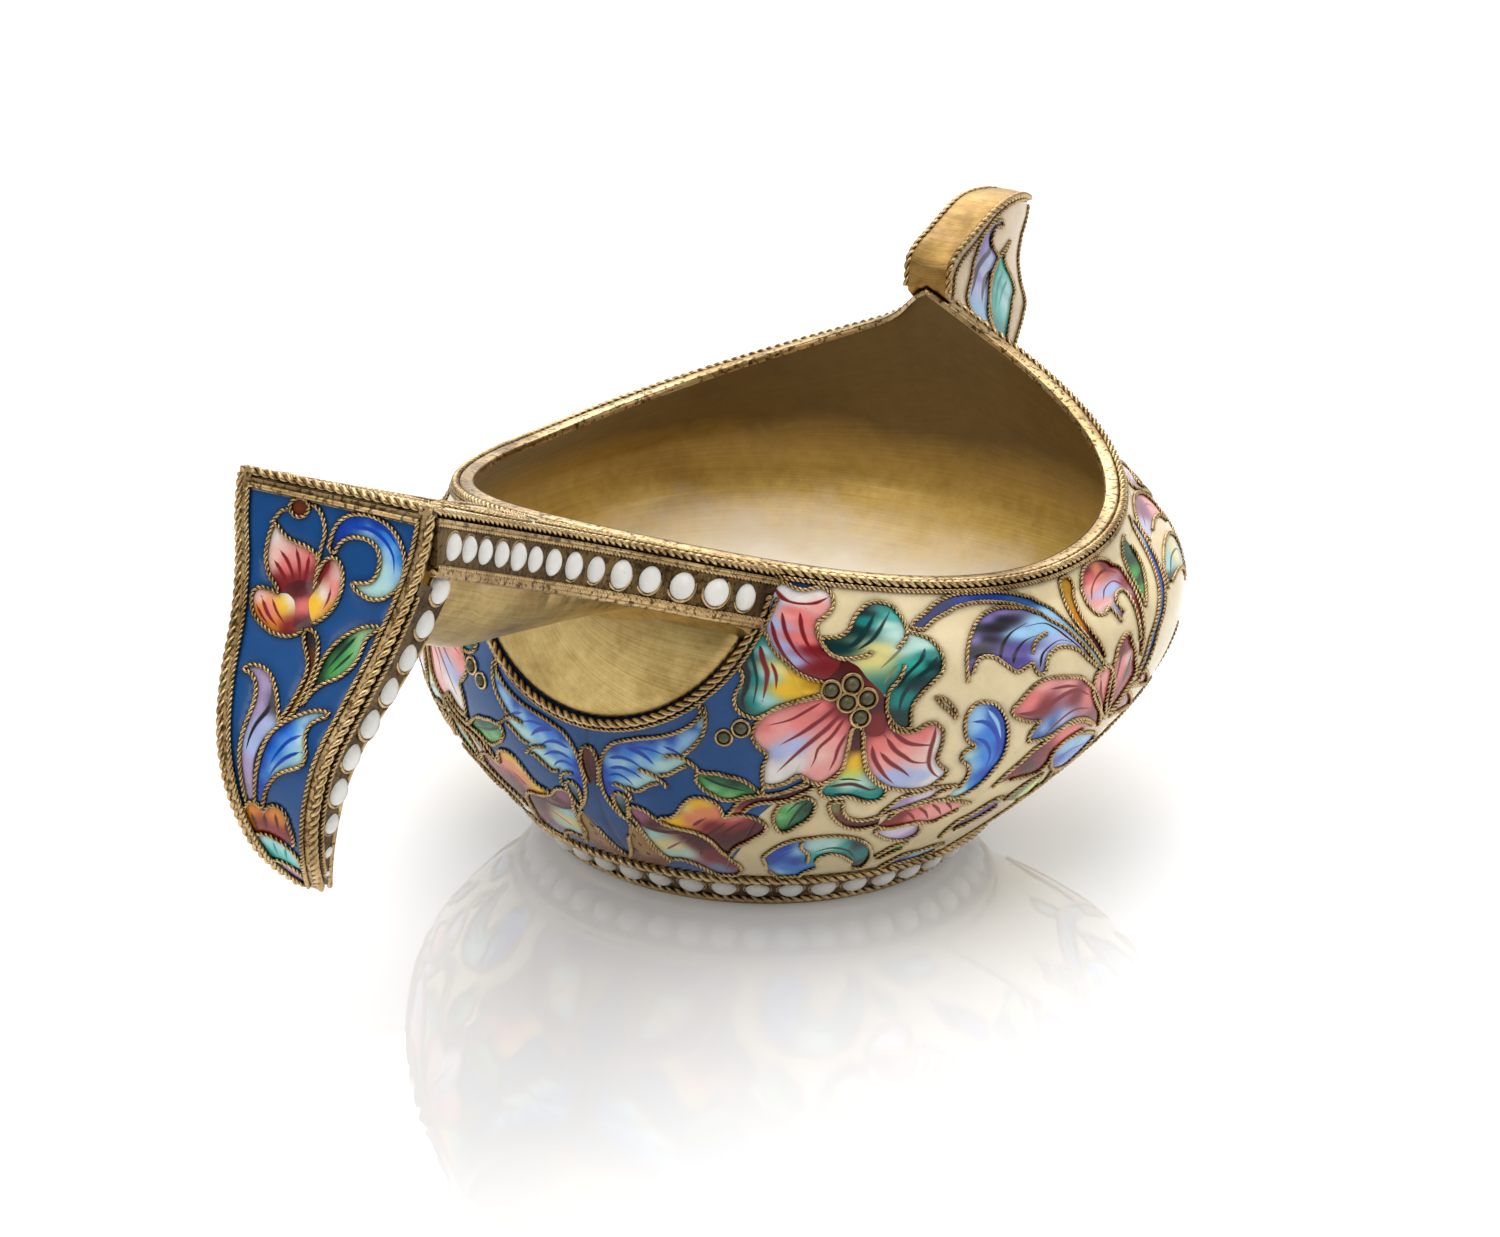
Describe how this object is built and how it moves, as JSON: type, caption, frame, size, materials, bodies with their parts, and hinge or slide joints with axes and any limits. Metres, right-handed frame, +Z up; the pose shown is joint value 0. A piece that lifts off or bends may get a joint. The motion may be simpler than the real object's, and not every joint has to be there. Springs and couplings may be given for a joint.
{
  "type": "kovsh",
  "caption": "Oval enamelled drinking bowl with a raised prow, a round beaded foot and a flat beaded handle that ends in a hanging curved plate.",
  "frame": {"origin": "middle of the round foot, on the surface that the bowl stands on", "axes": "+Z up; +X towards the prow, -X towards the handle; -Y is the near side in the picture"},
  "size_m": [0.113, 0.0588, 0.0462],
  "materials": {
    "gilt_sheet": "warm brushed silver-gilt, slightly tarnished",
    "gilt_pale": "rubbed, paler silver-gilt",
    "gilt_wire": "twisted silver-gilt wire",
    "bead_enamel": "opaque white enamel beads in gilt settings",
    "blue_enamel": "glossy opaque steel-blue enamel with shaded motifs",
    "cream_enamel": "glossy opaque cream enamel with shaded flowers and leaves",
    "handle_enamel": "glossy opaque cream enamel with shaded scrolls"
  },
  "bodies": {
    "root": {"foot_base": "gilt_sheet", "foot_bead_band": "bead_enamel", "foot_rope_lower": "gilt_wire", "foot_rope_upper": "gilt_wire", "bowl_shell": "gilt_sheet", "rim_band": "gilt_pale", "rim_rope_upper": "gilt_wire", "rim_rope_lower": "gilt_wire", "blue_field": "blue_enamel", "cream_field_near": "cream_enamel", "cream_field_far": "cream_enamel", "flower_granules_near": "gilt_wire", "flower_granules_far": "gilt_wire", "seat_panel": "gilt_sheet", "seat_panel_rope": "gilt_wire", "handle_top_enamel": "handle_enamel", "handle_top_plate": "gilt_pale", "handle_underside": "gilt_sheet", "handle_bead_strip_near": "bead_enamel", "handle_edge_rope_near": "gilt_wire", "handle_lower_wire_near": "gilt_wire", "handle_bead_strip_far": "bead_enamel", "handle_edge_rope_far": "gilt_wire", "handle_lower_wire_far": "gilt_wire", "terminal_enamel": "blue_enamel", "terminal_front_plate": "gilt_pale", "terminal_rear_plate": "gilt_sheet", "terminal_top_rope": "gilt_wire", "terminal_bead_side_near": "bead_enamel", "terminal_edge_rope_near": "gilt_wire", "terminal_bead_side_far": "bead_enamel", "terminal_edge_rope_far": "gilt_wire", "prow_inner_plate": "gilt_sheet", "prow_keel_wire": "gilt_wire", "prow_side_near": "cream_enamel", "prow_rope_near": "gilt_wire", "prow_side_far": "cream_enamel", "prow_rope_far": "gilt_wire"}
  },
  "joints": []
}
